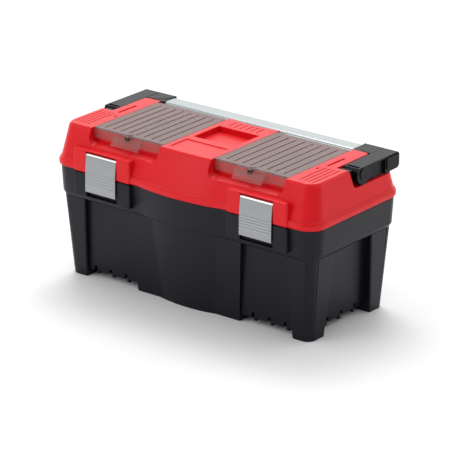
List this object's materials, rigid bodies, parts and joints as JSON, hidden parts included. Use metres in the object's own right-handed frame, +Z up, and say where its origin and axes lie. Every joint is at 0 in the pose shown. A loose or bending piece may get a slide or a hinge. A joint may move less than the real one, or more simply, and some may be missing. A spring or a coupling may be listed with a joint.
{
  "type": "toolbox",
  "caption": "Plastic toolbox with a hinged lid, metal latches, folding bar handle, clear-covered organizers in the lid and a lift-out tray inside.",
  "frame": {"origin": "on the floor under the middle of the box", "axes": "+X along the length, -Y towards the latched front, +Z up"},
  "size_m": [0.55, 0.267, 0.2708],
  "materials": {
    "tub_plastic": "near-black polypropylene, fine satin texture",
    "lid_plastic": "bright red polypropylene, satin",
    "arm_plastic": "black nylon, satin",
    "tray_plastic": "black polypropylene, matt",
    "latch_aluminium": "satin extruded aluminium with fine ribs",
    "bar_aluminium": "satin anodised aluminium",
    "steel": "bright zinc-plated steel",
    "smoked_cover": "smoked clear plastic with lengthwise grooves"
  },
  "bodies": {
    "tub": {"tub": "tub_plastic", "hinge_pin_left": "steel", "hinge_pin_right": "steel"},
    "lid": {"lid": "lid_plastic", "latch_pin_left": "steel", "cover_pin_left": "steel", "arm_pivot_left": "arm_plastic", "handle_stop_left": "arm_plastic", "latch_pin_right": "steel", "cover_pin_right": "steel", "arm_pivot_right": "arm_plastic", "handle_stop_right": "arm_plastic", "organizer_divider_left_1": "tray_plastic", "organizer_divider_left_2": "tray_plastic", "organizer_divider_right_1": "tray_plastic", "organizer_divider_right_2": "tray_plastic"},
    "latch_left": {"latch_left": "latch_aluminium"},
    "latch_right": {"latch_right": "latch_aluminium"},
    "cover_left": {"organizer_cover_left": "smoked_cover"},
    "cover_right": {"organizer_cover_right": "smoked_cover"},
    "handle": {"handle_bar": "bar_aluminium", "handle_arm_left": "arm_plastic", "bar_cap_left": "arm_plastic", "bar_screw_left": "steel", "handle_arm_right": "arm_plastic", "bar_cap_right": "arm_plastic", "bar_screw_right": "steel"},
    "tray": {"tray": "tray_plastic", "tray_divider_left": "tray_plastic", "tray_divider_right": "tray_plastic"}
  },
  "joints": [
    {"name": "lid_hinge", "type": "hinge", "parent": "tub", "child": "lid", "pos_m": [0, 0.1283, 0.2], "axis": [-1, 0, 0], "range_deg": [0, 100]},
    {"name": "tray_lift", "type": "slide", "parent": "tub", "child": "tray", "axis": [0, 0, 1], "range_m": [0, 0.09]},
    {"name": "latch_left_hinge", "type": "hinge", "parent": "lid", "child": "latch_left", "pos_m": [-0.1628, -0.1215, 0.229], "axis": [-1, 0, 0], "range_deg": [0, 100]},
    {"name": "latch_right_hinge", "type": "hinge", "parent": "lid", "child": "latch_right", "pos_m": [0.1628, -0.1215, 0.229], "axis": [-1, 0, 0], "range_deg": [0, 100]},
    {"name": "cover_left_hinge", "type": "hinge", "parent": "lid", "child": "cover_left", "pos_m": [-0.1283, 0.0722, 0.2668], "axis": [-1, 0, 0], "range_deg": [0, 95]},
    {"name": "cover_right_hinge", "type": "hinge", "parent": "lid", "child": "cover_right", "pos_m": [0.1283, 0.0722, 0.2668], "axis": [-1, 0, 0], "range_deg": [0, 95]},
    {"name": "handle_pivot", "type": "hinge", "parent": "lid", "child": "handle", "pos_m": [0, 0.022, 0.258], "axis": [1, 0, 0], "range_deg": [0, 90]}
  ],
  "couplings": [
    {"joint": "tray_lift", "follows": "lid_hinge", "m_per_rad": 0.05}
  ]
}
